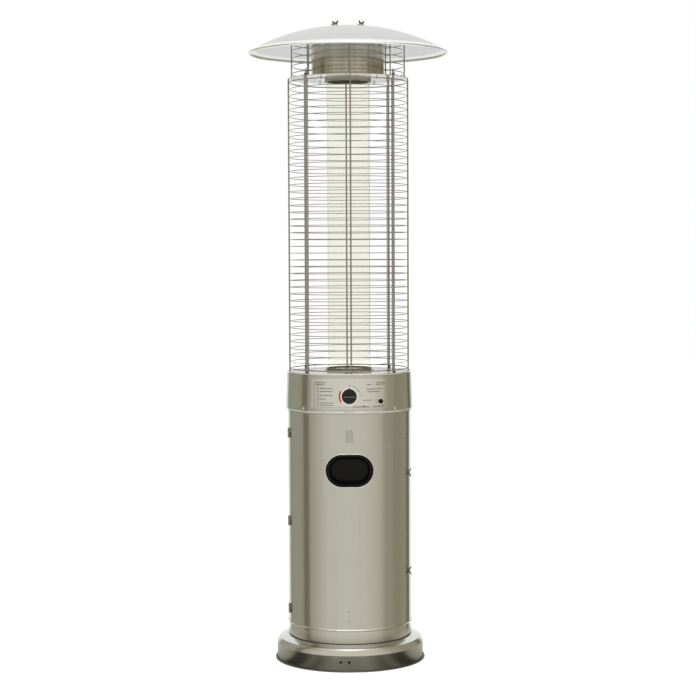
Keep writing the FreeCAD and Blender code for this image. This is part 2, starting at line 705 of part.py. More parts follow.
def make_burner():
    head = ring_body(
        "burner_head",
        [(S.burner_radius - 1.5, 801.2), (12, 801.2), (12, 800), (S.burner_radius, 800), (S.burner_radius, 819),
         (72, 819), (72, 820.6), (S.burner_radius, 820.6), (S.burner_radius, 828), (0, 828), (0, 826.6),
         (S.burner_radius - 1.5, 826.6)])
    ports = new_sketch(head, "XY_Plane", 830)
    circle(ports, 2.2, 44)
    outer = pocket(head, ports, length=10)
    repeat_round(head, outer, 24)
    ports = new_sketch(head, "XY_Plane", 830)
    circle(ports, 2.2, 30)
    inner = pocket(head, ports, length=10)
    repeat_round(head, inner, 12)

    box_ring("burner_tube", 10.5, 11.9, 742, 806)
    upright_turned("burner_screws", 67.5, [(0, 814), (2, 814), (2, 823), (3.2, 823), (2.6, 825.2), (0, 825.2)],
                   first_angle=0)
    injector = turned_piece("injector", [(0, -14), (5, -14), (5, -4), (8, -4), (8, 6), (3, 12), (0, 12)])
    bind_base(injector, (0, 0, 746 - 16))

    bar = new_body("injector_bracket")
    strap = new_sketch(bar, "XY_Plane", 722)
    rectangle(strap, -26, 26, -9, 9)
    circle(strap, 5.1)
    pad(bar, strap, 1.6)
    for side in (-1, 1):
        leg = new_sketch(bar, "XY_Plane", S.bay_top + S.steel)
        rectangle(leg, side * 26 - (1.6 if side > 0 else 0), side * 26 + (0 if side > 0 else 1.6), -9, 9)
        pad(bar, leg, 722 - S.bay_top - S.steel + 1.6)
        foot = new_sketch(bar, "XY_Plane", S.bay_top + S.steel)
        rectangle(foot, 24.4 if side > 0 else -40, 40 if side > 0 else -24.4, -9, 9)
        pad(bar, foot, 1.6)

    pilot = turned_piece("pilot_burner", [(0, 0), (3.5, 0), (3.5, 36), (2.2, 38), (0, 38)])
    bind_base(pilot, (34, -86, 776))
    probe = turned_piece("thermocouple", [(0, 0), (2.4, 0), (2.4, 30), (1.5, 36), (0, 36)])
    bind_base(probe, (46, -80, 776))
    electrode = turned_piece("ignition_electrode", [(0, 0), (2.6, 0), (2.6, 26), (0.9, 26), (0.9, 38), (0, 38)])
    bind_base(electrode, (22, -90, 776))
    holder = new_body("pilot_bracket")
    plate = new_sketch(holder, "XY_Plane", 782)
    rectangle(plate, 14, 54, -98, -72)
    circle(plate, 3.5, 34, -86)
    circle(plate, 2.4, 46, -80)
    circle(plate, 2.6, 22, -90)
    pad(holder, plate, 1.5)
    upright = new_sketch(holder, "XY_Plane", 782)
    rectangle(upright, 14, 54, -73.6, -72.1)
    pad(holder, upright, S.plate_top - S.steel - 782)

    route = [(0, -93, 740), (0, -60, 740), (0, -60, 728), (0, -8, 728)]
    shape_part("gas_pipe", pipe_shape(route, 2.5, 5.5))
    shape_part("pilot_pipe", pipe_shape([(34, -86, 776), (34, -86, 758), (34, -112, 758), (17, -112, 758)], 1.5, 6))


def make_tilt_switch():
    switch = new_body("tilt_switch")
    case = new_sketch(switch, "XY_Plane", S.bay_top + S.steel)
    rectangle(case, -96, -66, -70, -40)
    pad(switch, case, 34)


# ---------------------------------------------------------------- flame tube and guards

def make_flame_tube():
    inner = S.glass_radius - S.glass_wall
    box_ring("glass_tube", inner, S.glass_radius, S.glass_foot, S.glass_head)
    seals = ring_body("tube_seals",
                      [(57.2, S.plate_top), (63.6, S.plate_top), (63.6, 831), (61.0, 831), (61.0, S.glass_foot),
                       (57.2, S.glass_foot)])
    upper = new_sketch(seals)
    rectangle(upper, S.glass_radius, 65.5, 1638, S.shelf_foot)
    revolve(seals, upper)


def make_posts():
    upright_turned("support_posts", S.post_ring,
                   [(0, S.post_foot), (S.post_radius, S.post_foot), (S.post_radius, S.post_head - 1),
                    (S.post_radius - 1, S.post_head), (0, S.post_head)], first_angle=47)
    nuts = new_body("post_nuts")
    shelf_top = S.shelf_foot + S.shelf_sheet
    for low in (S.plate_top - S.steel - 5, S.plate_top + 0.2, shelf_top):
        sketch = new_sketch(nuts, "XY_Plane", low)
        corner = S.nut_flats / 2
        slope = S.nut_flats / (2 * math.sqrt(3))
        outline(sketch, [(S.post_ring + corner, -slope), (S.post_ring + corner, slope), (S.post_ring, slope * 2),
                         (S.post_ring - corner, slope), (S.post_ring - corner, -slope), (S.post_ring, slope * -2)])
        circle(sketch, S.post_radius, S.post_ring)
        repeat_round(nuts, pad(nuts, sketch, 5), 4)
    face_angle(nuts, 47)


def arc_wire(ring_radius, wire_radius, height, half_angle):
    """A round wire bent to part of a circle, its middle on +X."""
    wire = Part.makeTorus(float(ring_radius), float(wire_radius), Vector(0, 0, height), Vector(0, 0, 1), 0, 360,
                          2 * half_angle)
    return wire.rotate(Vector(0, 0, 0), Vector(0, 0, 1), -half_angle)


def make_lower_guards():
    """Four quarter panels of hoops welded to a middle bar and thin end wires, between the posts."""
    ring, wire = float(S.guard_ring_radius), float(S.guard_wire)
    low, high, count = float(S.guard_low), float(S.guard_high), int(float(S.guard_ring_count))
    half_angle = 45 - 0.6
    pitch = (high - low) / (count - 1)
    hoops = []
    for index in range(count):
        thick = 1.6 if index in (0, count - 1) else wire
        hoops.append(arc_wire(ring + thick - wire - 0.6 * (thick > wire), thick, low + pitch * index, half_angle))
    bar_foot, bar_head = float(S.plate_top), float(S.shelf_foot)
    bar = Part.makeCylinder(float(S.guard_bar), bar_head - bar_foot,
                            Vector(float(S.guard_bar_radius), 0, bar_foot))
    ends = []
    for side in (-1, 1):
        end = Part.makeCylinder(wire, high - low, Vector(ring, 0, low))
        end.rotate(Vector(0, 0, 0), Vector(0, 0, 1), side * half_angle)
        ends.append(end)
    panel = bar.fuse(hoops + ends)
    if len(panel.Solids) != 1:
        raise RuntimeError("a guard panel is not one solid")
    for name, angle in (("lower_guard_front", 0), ("lower_guard_right", 90), ("lower_guard_back", 180),
                        ("lower_guard_left", 270)):
        face_angle(shape_part(name, panel.Solids[0]), angle + float(S.guard_turn))


def make_upper_guard():
    """The cage round the exhaust, in four quarters of six hoops and two bars."""
    ring, wire, bar_radius = float(S.upper_ring_radius), float(S.upper_wire), float(S.upper_bar)
    foot = float(S.shelf_foot + S.shelf_sheet)
    half_angle = 44.9
    dome_under = float(sphere_height(ring + 4, S.dome_sphere, S.dome_apex)) - 1.6
    bars = []
    for side in (-1, 1):
        bar = Part.makeCylinder(bar_radius, dome_under - foot, Vector(ring, 0, foot))
        bar.rotate(Vector(0, 0, 0), Vector(0, 0, 1), side * 22.5)
        bars.append(bar)
    hoops = [arc_wire(ring - bar_radius + 0.6, wire, float(S.upper_ring_low + S.upper_pitch * index), half_angle)
             for index in range(6)]
    quarter = bars[0].fuse(bars[1:] + hoops)
    quarters = []
    for step in range(4):
        piece = quarter.Solids[0].copy()
        piece.rotate(Vector(0, 0, 0), Vector(0, 0, 1), 90 * step)
        quarters.append(piece)
    face_angle(shape_part("upper_guard", Part.makeCompound(quarters)), 22.5 + float(S.guard_turn))


# ---------------------------------------------------------------- reflector

def make_shelf():
    """Plate that caps the flame tube, with an ear at each post."""
    shelf = new_body("shelf_plate")
    sketch = new_sketch(shelf, "XY_Plane", S.shelf_foot)
    circle(sketch, S.shelf_radius)
    circle(sketch, S.glass_radius + 1.0)
    pad(shelf, sketch, S.shelf_sheet)
    ear = new_sketch(shelf, "XY_Plane", S.shelf_foot)
    rectangle(ear, S.shelf_radius - 6, S.post_ring + 8.5, -9, 9)
    repeat_round(shelf, pad(shelf, ear, S.shelf_sheet), 4)
    hole = new_sketch(shelf, "XY_Plane", S.shelf_foot + 20)
    circle(hole, S.post_radius + 0.15, S.post_ring)
    repeat_round(shelf, pocket(shelf, hole, length=40), 4)
    face_angle(shelf, 47)


def make_exhaust():
    shelf_top = S.shelf_foot + S.shelf_sheet
    inner = S.exhaust_radius - S.steel
    ring_body("exhaust_shell",
              [(inner, shelf_top), (S.exhaust_radius + 11, shelf_top), (S.exhaust_radius + 11, shelf_top + S.steel),
               (S.exhaust_radius, shelf_top + S.steel), (S.exhaust_radius, S.exhaust_head),
               (inner, S.exhaust_head)])
    seat = shelf_top + S.steel
    screws = new_body("exhaust_screws")
    add_upright(screws, S.exhaust_radius + 6.5,
                [(0, seat - 9), (1.8, seat - 9), (1.8, seat), (3.4, seat), (2.8, seat + 2), (0, seat + 2)])
    add_radial(screws, 1742, pan_screw(S.exhaust_radius + 1.8, head=3.4, rise=2, depth=6))
    face_angle(screws, 47)
    strap_width, strap_foot = 18.0, S.exhaust_head
    bracket = new_body("dome_bracket")
    for across, along in ((S.exhaust_radius + 0.2, strap_width / 2), (strap_width / 2, S.exhaust_radius + 0.2)):
        sketch = new_sketch(bracket, "XY_Plane", strap_foot)
        rectangle(sketch, -across, across, -along, along)
        pad(bracket, sketch, 2)
    tab = new_sketch(bracket)
    rectangle(tab, S.exhaust_radius + 0.2, S.exhaust_radius + 1.8, strap_foot - 16, strap_foot + 2)
    flap = revolve(bracket, tab, 10)
    repeat_round(bracket, flap, 4)
    face_angle(bracket, 47)


def make_dome():
    inner = S.dome_sphere - S.dome_sheet
    rim = sphere_height(S.dome_radius, S.dome_sphere, S.dome_apex)
    rim_inner = sphere_height(S.dome_radius, inner, S.dome_apex - S.dome_sheet)
    dome = ring_body(
        "reflector_dome",
        [(0, S.dome_apex - S.dome_sheet), (S.dome_radius, rim_inner), (S.dome_radius, rim), (0, S.dome_apex)],
        arcs={0: -inner, 2: S.dome_sphere},
        beads=[(S.dome_radius - 0.5, rim - S.dome_bead, S.dome_bead)], centre_angle=47)
    hole = new_sketch(dome, "XY_Plane", 1900)
    circle(hole, S.stud_radius + 0.2, S.stud_ring)
    repeat_round(dome, pocket(dome, hole, length=300), 4)
    strap_top = S.exhaust_head + 2
    outside = sphere_height(S.stud_ring - 8, S.dome_sphere, S.dome_apex)
    inside = sphere_height(S.stud_ring + 6, S.dome_sphere, S.dome_apex) - S.dome_sheet
    upright_turned("dome_studs", S.stud_ring,
                   [(0, strap_top), (S.stud_radius, strap_top), (S.stud_radius, outside + 8.6), (0, outside + 8.6)],
                   first_angle=47)
    upright_turned("dome_spacers", S.stud_ring,
                   [(3.1, strap_top), (5.5, strap_top), (5.5, inside - 0.1), (3.1, inside - 0.1)], first_angle=47)
    upright_turned("dome_washers", S.stud_ring,
                   [(3.1, outside + 0.1), (8, outside + 0.1), (8, outside + 1.3), (3.1, outside + 1.3)],
                   first_angle=47)
    nuts = new_body("wing_nuts")
    seat = outside + 1.4
    hub = new_sketch(nuts)
    outline(hub, [(S.stud_ring + 3.02, seat), (S.stud_ring + 6, seat), (S.stud_ring + 5, seat + 7),
                  (S.stud_ring + 3.02, seat + 7)])
    hub.addGeometry(Part.LineSegment(Vector(float(S.stud_ring), 0, 0), Vector(float(S.stud_ring), 10, 0)), True)
    fix_point(hub, 4, 1, (S.stud_ring, size(0)))
    fix_point(hub, 4, 2, (S.stud_ring, size(10)))
    hub_feature = revolve(nuts, hub, axis="Axis0")
    wings = new_sketch(nuts, "YZ_Plane", S.stud_ring - 1)
    for side in (-1, 1):
        outline(wings, [(side * 4.4, seat + 1), (side * 7.5, seat + 2.6), (side * 11, seat + 8),
                        (side * 10.6, S.top), (side * 7.8, S.top - 0.6), (side * 4.4, seat + 5.6)])
    wing_feature = pad(nuts, wings, 2)
    repeat_round(nuts, [hub_feature, wing_feature], 4)
    face_angle(nuts, 47)


# ---------------------------------------------------------------- document output

def write_parts():
    doc.recompute()
    for item in doc.Objects:
        if "Invalid" in item.State or "Error" in item.State:
            raise RuntimeError(f"{item.Name}: {item.State}")
    for item in parts:
        if item.Shape.isNull() or not item.Shape.isValid() or not item.Shape.Solids:
            raise RuntimeError(f"{item.Label} has no valid solid")
    os.makedirs("parts", exist_ok=True)
    for item in parts:
        item.Shape.exportStep(f"parts/{item.Label}.step")


make_base()
make_frame()
make_rear_shell()
make_catches()
make_door()
make_handle()
make_hinges()
make_wing_screw("wing_screw_lower", S.screw_low)
make_wing_screw("wing_screw_upper", S.screw_high)
make_control_housing()
make_label()
make_igniter()
make_knob()
make_valve()
make_burner()
make_tilt_switch()
make_flame_tube()
make_posts()
make_lower_guards()
make_upper_guard()
make_shelf()
make_exhaust()
make_dome()
write_parts()
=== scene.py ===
"""Looks of the outdoor heater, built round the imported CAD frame. Metres, +Z up, the front faces -Y.

Angles round the main axis are in degrees from the front, positive towards +X.
"""
import json
import math
import random

import bmesh
import bpy
from mathutils import Matrix, Vector


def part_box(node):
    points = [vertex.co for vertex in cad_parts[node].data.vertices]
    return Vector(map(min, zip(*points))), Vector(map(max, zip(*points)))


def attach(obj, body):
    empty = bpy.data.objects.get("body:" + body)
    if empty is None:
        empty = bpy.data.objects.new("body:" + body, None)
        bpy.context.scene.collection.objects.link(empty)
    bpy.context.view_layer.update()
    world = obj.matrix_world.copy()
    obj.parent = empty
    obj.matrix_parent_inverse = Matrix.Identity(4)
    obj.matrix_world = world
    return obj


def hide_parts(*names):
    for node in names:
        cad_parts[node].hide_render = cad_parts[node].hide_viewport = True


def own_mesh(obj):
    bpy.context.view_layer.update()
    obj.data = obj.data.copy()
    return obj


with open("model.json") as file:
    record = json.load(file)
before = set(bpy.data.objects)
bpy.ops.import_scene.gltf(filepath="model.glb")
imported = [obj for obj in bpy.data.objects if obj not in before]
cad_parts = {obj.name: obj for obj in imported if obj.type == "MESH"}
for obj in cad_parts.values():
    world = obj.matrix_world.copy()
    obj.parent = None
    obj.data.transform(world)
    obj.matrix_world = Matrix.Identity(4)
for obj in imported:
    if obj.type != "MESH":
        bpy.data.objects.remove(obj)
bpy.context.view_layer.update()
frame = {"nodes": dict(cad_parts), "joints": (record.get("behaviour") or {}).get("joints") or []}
FRAME_BODY = "heater_frame"
MM = 0.001


# ---------------------------------------------------------------- places and sizes

def low(node):
    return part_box(node)[0]


def high(node):
    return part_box(node)[1]


def middle_height(node):
    return (low(node).z + high(node).z) / 2


def joint(name):
    return next(entry for entry in frame["joints"] if entry["name"] == name)


BASE_RADIUS, BASE_TOP = high("base_shell").x, high("base_shell").z
COLLAR_RADIUS, COLLAR_TOP = high("base_collar").x, high("base_collar").z
SHELL_RADIUS = high("rear_shell").y
HOUSING_LOW, HOUSING_HIGH = low("control_housing").z, high("control_housing").z
PLATE_TOP = high("top_plate").z
KNOB_AXIS = Vector(joint("knob_turn")["pos_m"])
IGNITER_OUT = -Vector(joint("igniter_push")["axis"])
IGNITER_HEIGHT = middle_height("igniter_ring")
HANDLE_HEIGHT = middle_height("door_handle")

# sizes of the CAD pieces that their boxes don't give
HOUSING_FOOT_RADIUS, HOUSING_HEAD_RADIUS = 181.0 * MM, 177.9 * MM
HANDLE_WIDTH, HANDLE_RISE = 132.0 * MM, 89.3 * MM
BASE_HOLE_REACH, BASE_HOLE_HEIGHT = 206.6 * MM, 28 * MM
BASE_HOLES_ACROSS = (-26.5 * MM, -3.0 * MM)
HINGE_HEIGHTS = (150, 400, 650)


def housing_radius(height):
    share = (height - HOUSING_LOW) / (HOUSING_HIGH - HOUSING_LOW)
    return HOUSING_FOOT_RADIUS + (HOUSING_HEAD_RADIUS - HOUSING_FOOT_RADIUS) * share


def around(radius, angle, height):
    """A point at an angle from the front."""
    turn = math.radians(angle)
    return Vector((radius * math.sin(turn), -radius * math.cos(turn), height))


def on_front(radius, across, height):
    """A point on the front of a cylinder, by its distance across from the middle."""
    return Vector((across, -math.sqrt(radius * radius - across * across), height))


def panel_point(across, height, lift):
    return on_front(housing_radius(height) + lift, across, height)


def shell_point(across, height, lift):
    return on_front(SHELL_RADIUS + lift, across, height)


def outward(radius, angle, height):
    """A frame whose +Z points out of the heater's side and whose +Y points up."""
    spot = Matrix.Translation(around(radius, angle, height))
    return spot @ Matrix.Rotation(math.radians(angle), 4, "Z") @ Matrix.Rotation(math.radians(90), 4, "X")


# ---------------------------------------------------------------- mesh helpers

CREASE = math.radians(35)


def smooth_mesh(mesh):
    """Smooth faces, with every edge sharper than the crease angle kept sharp."""
    work = bmesh.new()
    work.from_mesh(mesh)
    bmesh.ops.recalc_face_normals(work, faces=work.faces)
    for face in work.faces:
        face.smooth = True
    for edge in work.edges:
        edge.smooth = len(edge.link_faces) == 2 and edge.calc_face_angle(0) < CREASE
    work.to_mesh(mesh)
    work.free()
    mesh.update()


def mesh_from(name, vertices, faces):
    mesh = bpy.data.meshes.new(name)
    mesh.from_pydata([tuple(vertex) for vertex in vertices], [], faces)
    mesh.validate()
    return mesh


def make_object(name, mesh, material, body=FRAME_BODY, replaces=()):
    """Finish a mesh object: smooth faces with sharp creases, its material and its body."""
    piece = bpy.data.objects.new(name, mesh)
    bpy.context.scene.collection.objects.link(piece)
    smooth_mesh(mesh)
    mesh.materials.clear()
    mesh.materials.append(material)
    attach(piece, body)
    if replaces:
        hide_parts(*replaces)
    return piece


def make_piece(name, parts, material, body=FRAME_BODY):
    """One piece from several parts, each a list of vertices and a list of faces."""
    vertices, faces = [], []
    for part_vertices, part_faces in parts:
        offset = len(vertices)
        vertices += part_vertices
        faces += [tuple(index + offset for index in face) for face in part_faces]
    return make_object(name, mesh_from(name, vertices, faces), material, body)


def rounded(points, steps):
    """A closed outline of (x, y, corner radius) points, each corner turned into an arc."""
    outline = []
    for index, (x, y, radius) in enumerate(points):
        corner = Vector((x, y))
        before = Vector(points[index - 1][:2]) - corner
        after = Vector(points[(index + 1) % len(points)][:2]) - corner
        half = before.angle(after) / 2
        reach = min(radius / math.tan(half), before.length * 0.499, after.length * 0.499)
        radius = reach * math.tan(half)
        first = corner + before.normalized() * reach
        last = corner + after.normalized() * reach
        inward = (before.normalized() + after.normalized()).normalized()
        centre = corner + inward * (radius / math.sin(half))
        begin = first - centre
        sweep = begin.angle_signed(last - centre)
        for step in range(steps + 1):
            outline.append(tuple(centre + Matrix.Rotation(-sweep * step / steps, 2) @ begin))
    return outline


def stadium_outline(width, rise, steps):
    half, radius = (width - rise) / 2, rise / 2
    points = []
    for side, first in ((1, -90), (-1, 90)):
        for step in range(steps + 1):
            turn = math.radians(first + 180 * step / steps)
            points.append((side * half + radius * math.cos(turn), radius * math.sin(turn)))
    return points


def tube(points, radius, sides=10, closed=False):
    """A round wire along points, with flat ends."""
    points = [Vector(point) for point in points]
    count = len(points)
    vertices = []
    side = None
    for index, point in enumerate(points):
        before = points[index - 1] if index or closed else point
        after = points[(index + 1) % count] if index < count - 1 or closed else point
        along = (after - before).normalized()
        if side is None:
            helper = Vector((0, 0, 1)) if abs(along.z) < 0.9 else Vector((1, 0, 0))
            side = along.cross(helper).normalized()
        side = (side - along * side.dot(along)).normalized()
        up = along.cross(side)
        for step in range(sides):
            turn = 2 * math.pi * step / sides
            vertices.append(point + radius * (math.cos(turn) * side + math.sin(turn) * up))
    faces = []
    for index in range(count if closed else count - 1):
        here, there = index * sides, ((index + 1) % count) * sides
        for step in range(sides):
            following = (step + 1) % sides
            faces.append((here + step, here + following, there + following, there + step))
    if not closed:
        faces.append(tuple(reversed(range(sides))))
        faces.append(tuple(range((count - 1) * sides, count * sides)))
    return vertices, faces


def turned_part(outline, place, sides):
    """An outline of (radius, rise) turned about a line: open at its start, closed by an end on the line."""
    vertices, faces, rings = [], [], []
    for radius, rise in outline:
        count = sides if radius else 1
        rings.append(range(len(vertices), len(vertices) + count))
        for step in range(count):
            turn = 2 * math.pi * step / sides
            vertices.append(place @ Vector((radius * math.cos(turn), radius * math.sin(turn), rise)))
    for lower, upper in zip(rings, rings[1:]):
        for step in range(sides):
            following = (step + 1) % sides
            if len(upper) == 1:
                faces.append((lower[step], lower[following], upper[0]))
            else:
                faces.append((lower[step], lower[following], upper[following], upper[step]))
    return vertices, faces


def band_faces(size):
    """Faces of the band between two loops of points, with both loops closed."""
    faces = [(index, (index + 1) % size, size + (index + 1) % size, size + index) for index in range(size)]
    return faces + [tuple(reversed(range(size))), tuple(range(size, 2 * size))]


def prism_part(outline, place, foot, head):
    vertices = [place @ Vector((x, y, z)) for z in (foot, head) for x, y in outline]
    return vertices, band_faces(len(outline))


def strip_faces(steps, turned=False):
    """Faces of a strip whose points come in pairs."""
    order = (0, 1, 3, 2) if turned else (0, 2, 3, 1)
    return [tuple(2 * step + corner for corner in order) for step in range(steps)]


# ---------------------------------------------------------------- materials

# colour of the painted highlight on the dome's rim
RIM_HIGHLIGHT = (0.95, 0.955, 0.93)
METAL_GRAIN_DEPTH, PLASTIC_GRAIN_DEPTH = 0.2 * MM, 0.1 * MM
# how fine a brushed grain is: its noise scale round the axis, and along it
ROUND_BRUSH = (4.0, 2600.0)
UPRIGHT_BRUSH = (620.0, 6.0)


def shade(colour, amount):
    return tuple(min(1.0, channel * amount) for channel in colour)


class Nodes:
    """A node tree with short calls."""

    def __init__(self, tree):
        self.tree = tree

    def node(self, kind, **settings):
        made = self.tree.nodes.new(kind)
        for key, value in settings.items():
            setattr(made, key, value)
        return made

    def link(self, source, target):
        self.tree.links.new(source, target)

    def feed(self, socket, value):
        """Give a socket a number, a colour or another node's output."""
        if isinstance(value, (int, float)):
            socket.default_value = value
        elif isinstance(value, tuple):
            socket.default_value = (*value, 1.0)
        else:
            self.link(value, socket)

    def math(self, operation, *values):
        made = self.node("ShaderNodeMath", operation=operation)
        for socket, value in zip(made.inputs, values):
            self.feed(socket, value)
        return made.outputs[0]

    def mix(self, share, first, second):
        made = self.node("ShaderNodeMixRGB")
        for key, value in (("Fac", share), ("Color1", first), ("Color2", second)):
            self.feed(made.inputs[key], value)
        return made.outputs[0]

    def ramp(self, factor, stops):
        made = self.node("ShaderNodeValToRGB")
        elements = made.color_ramp.elements
        while len(elements) < len(stops):
            elements.new(0.5)
        for element, (position, colour) in zip(elements, stops):
            element.position = position
            element.color = (*colour, 1.0)
        self.link(factor, made.inputs[0])
        return made.outputs[0]

    def tones(self, factor, colour, width, variety):
        """A colour that darkens and lightens by a share as the factor goes a width either side of a half."""
        return self.ramp(factor, [(0.5 - width, shade(colour, 1 - variety)), (0.5, colour),
                                  (0.5 + width, shade(colour, 1 + variety))])

    def split(self, place):
        made = self.node("ShaderNodeSeparateXYZ")
        self.link(place, made.inputs[0])
        return made.outputs

    def turn(self, x, y):
        """Angle round the main axis from the front, in radians."""
        return self.math("ARCTAN2", x, self.math("MULTIPLY", y, -1.0))

    def reach(self, x, y):
        """Distance from the main axis."""
        return self.math("SQRT", self.math("ADD", self.math("POWER", x, 2.0), self.math("POWER", y, 2.0)))


class Shader(Nodes):
    """A material's node tree round its one surface shader."""

    def __init__(self, name):
        self.material = bpy.data.materials.new(name)
        self.material.use_nodes = True
        super().__init__(self.material.node_tree)
        self.surface = next(node for node in self.tree.nodes if node.type == "BSDF_PRINCIPLED")

    def object_place(self):
        return self.node("ShaderNodeTexCoord").outputs["Object"]

    def cylinder_place(self, round_scale, upright_scale):
        """Coordinates wrapped round the main axis, scaled apart along and round it."""
        x, y, z = self.split(self.object_place())
        place = self.node("ShaderNodeCombineXYZ")
        self.link(self.math("MULTIPLY", self.turn(x, y), round_scale), place.inputs[0])
        self.link(self.math("MULTIPLY", self.reach(x, y), upright_scale), place.inputs[1])
        self.link(self.math("MULTIPLY", z, upright_scale), place.inputs[2])
        return place.outputs[0]

    def noise(self, place, scale=1.0, detail=4.0, roughness=0.6):
        made = self.node("ShaderNodeTexNoise")
        made.inputs["Scale"].default_value = scale
        made.inputs["Detail"].default_value = detail
        made.inputs["Roughness"].default_value = roughness
        self.link(place, made.inputs["Vector"])
        return made.outputs["Fac"]

    def paint(self, tone):
        self.link(tone, self.surface.inputs["Base Color"])

    def roughen(self, factor, least, most):
        """Let the roughness follow a factor between two values."""
        made = self.node("ShaderNodeMapRange")
        made.inputs["To Min"].default_value = least
        made.inputs["To Max"].default_value = most
        self.link(factor, made.inputs["Value"])
        self.link(made.outputs[0], self.surface.inputs["Roughness"])

    def brighter_beyond(self, tone, start, full):
        """The tone, turning to a painted highlight between two distances from the main axis."""
        x, y, _ = self.split(self.object_place())
        share = self.node("ShaderNodeMapRange")
        share.inputs["From Min"].default_value = start
        share.inputs["From Max"].default_value = full
        self.link(self.reach(x, y), share.inputs["Value"])
        return self.mix(share.outputs[0], tone, RIM_HIGHLIGHT)

    def bump(self, height, strength, distance):
        made = self.node("ShaderNodeBump")
        made.inputs["Strength"].default_value = strength
        made.inputs["Distance"].default_value = distance
        self.link(height, made.inputs["Height"])
        self.link(made.outputs[0], self.surface.inputs["Normal"])

    def set(self, **values):
        for key, value in values.items():
            self.surface.inputs[key.replace("_", " ")].default_value = value


def brushed_steel(name, colour, roughness, spread=0.03, brush=ROUND_BRUSH, grain=0.05, variety=0.06,
                  painted_rim_highlight=None):
    """Brushed sheet steel: fine streaks round or up the piece, soft clouds of tone and finger-wide bands."""
    steel = Shader(name)
    streaks = steel.noise(steel.cylinder_place(*brush), detail=5.0)
    clouds = steel.noise(steel.object_place(), scale=9.0, detail=3.0)
    bands = steel.noise(steel.cylinder_place(7.0, 0.4), detail=2.0)
    broad = steel.math("ADD", steel.math("MULTIPLY", clouds, 0.25), steel.math("MULTIPLY", bands, 0.30))
    mix = steel.math("ADD", steel.math("MULTIPLY", streaks, 0.45), broad)
    tone = steel.tones(mix, colour, 0.20, variety)
    if painted_rim_highlight:
        tone = steel.brighter_beyond(tone, *painted_rim_highlight)
    steel.paint(tone)
    steel.roughen(streaks, roughness - spread, roughness + spread)
    steel.bump(streaks, grain, METAL_GRAIN_DEPTH)
    steel.set(Metallic=1.0)
    return steel.material


def plain_metal(name, colour, roughness, variety=0.08, scale=60.0):
    """Plated or cast metal with a faint mottle and fine handling marks."""
    metal = Shader(name)
    mottle = metal.noise(metal.object_place(), scale=scale, detail=6.0, roughness=0.65)
    marks = metal.noise(metal.object_place(), scale=scale * 14, detail=3.0)
    metal.paint(metal.tones(mottle, colour, 0.18, variety))
    metal.roughen(mottle, roughness * 0.8, roughness * 1.25)
    metal.bump(marks, 0.05, METAL_GRAIN_DEPTH)
    metal.set(Metallic=1.0)
    return metal.material


def moulded_plastic(name, colour, roughness, grain=0.25, specular=0.5):
    """Moulded plastic with a spark-eroded skin and slight gloss changes."""
    plastic = Shader(name)
    skin = plastic.noise(plastic.object_place(), scale=2200.0, detail=2.0)
    wear = plastic.noise(plastic.object_place(), scale=45.0, detail=4.0)
    tone = plastic.ramp(wear, [(0.3, shade(colour, 0.85)), (0.7, shade(colour, 1.2))])
    plastic.paint(tone)
    plastic.roughen(wear, roughness - 0.05, roughness + 0.08)
    plastic.bump(skin, grain, PLASTIC_GRAIN_DEPTH)
    plastic.set(Metallic=0.0, Specular_IOR_Level=specular)
    return plastic.material


def printed(name, colour):
    """Flat colour with a slightly uneven tone: screen-printed ink, and the knob's painted highlight."""
    flat_colour = Shader(name)
    cover = flat_colour.noise(flat_colour.object_place(), scale=900.0, detail=3.0)
    tone = flat_colour.ramp(cover, [(0.3, shade(colour, 0.8)), (0.7, shade(colour, 1.2))])
    flat_colour.paint(tone)
    flat_colour.set(Roughness=0.5, Metallic=0.0)
    return flat_colour.material


def clear_glass():
    """Borosilicate tube, faintly warm, with slow draw lines along it."""
    tube_glass = Shader("tube_glass")
    lines = tube_glass.noise(tube_glass.cylinder_place(26.0, 0.8), detail=3.0)
    tone = tube_glass.ramp(lines, [(0.3, (0.921, 0.922, 0.868)), (0.7, (0.941, 0.942, 0.892))])
    tube_glass.paint(tone)
    tube_glass.roughen(lines, 0.0, 0.015)
    tube_glass.set(Transmission_Weight=1.0, IOR=1.12, Metallic=0.0)
    return tube_glass.material


body_steel = brushed_steel("body_steel", (0.60, 0.605, 0.59), 0.14, brush=UPRIGHT_BRUSH, variety=0.07)
base_steel = brushed_steel("base_steel", (0.66, 0.66, 0.635), 0.17)
trim_steel = brushed_steel("trim_steel", (0.95, 0.945, 0.91), 0.12, grain=0.04)
plate_steel = brushed_steel("plate_steel", (0.60, 0.60, 0.57), 0.20, spread=0.06, grain=0.12)
heat_steel = brushed_steel("heat_steel", (0.47, 0.44, 0.37), 0.16, spread=0.06, brush=UPRIGHT_BRUSH,
                           grain=0.08, variety=0.45)
# painted highlight: the dome turns brighter near its outer rim, standing in for the light the rim reflects
dome_metal = brushed_steel("dome_metal", (0.645, 0.655, 0.64), 0.30, spread=0.06, variety=0.03,
                           painted_rim_highlight=(262 * MM, 271 * MM))
label_face = brushed_steel("label_face", (0.73, 0.735, 0.75), 0.15, brush=UPRIGHT_BRUSH, grain=0.03,
                           variety=0.05)
emblem_steel = brushed_steel("emblem_steel", (0.52, 0.515, 0.49), 0.22)
emblem_dark = plain_metal("emblem_dark", (0.34, 0.33, 0.30), 0.3)
wire_metal = plain_metal("wire_metal", (0.37, 0.36, 0.335), 0.24)
post_metal = plain_metal("post_metal", (0.40, 0.39, 0.365), 0.25)
zinc = plain_metal("zinc", (0.62, 0.63, 0.64), 0.34, variety=0.14, scale=90.0)
bright = plain_metal("bright_plating", (0.74, 0.73, 0.70), 0.18)
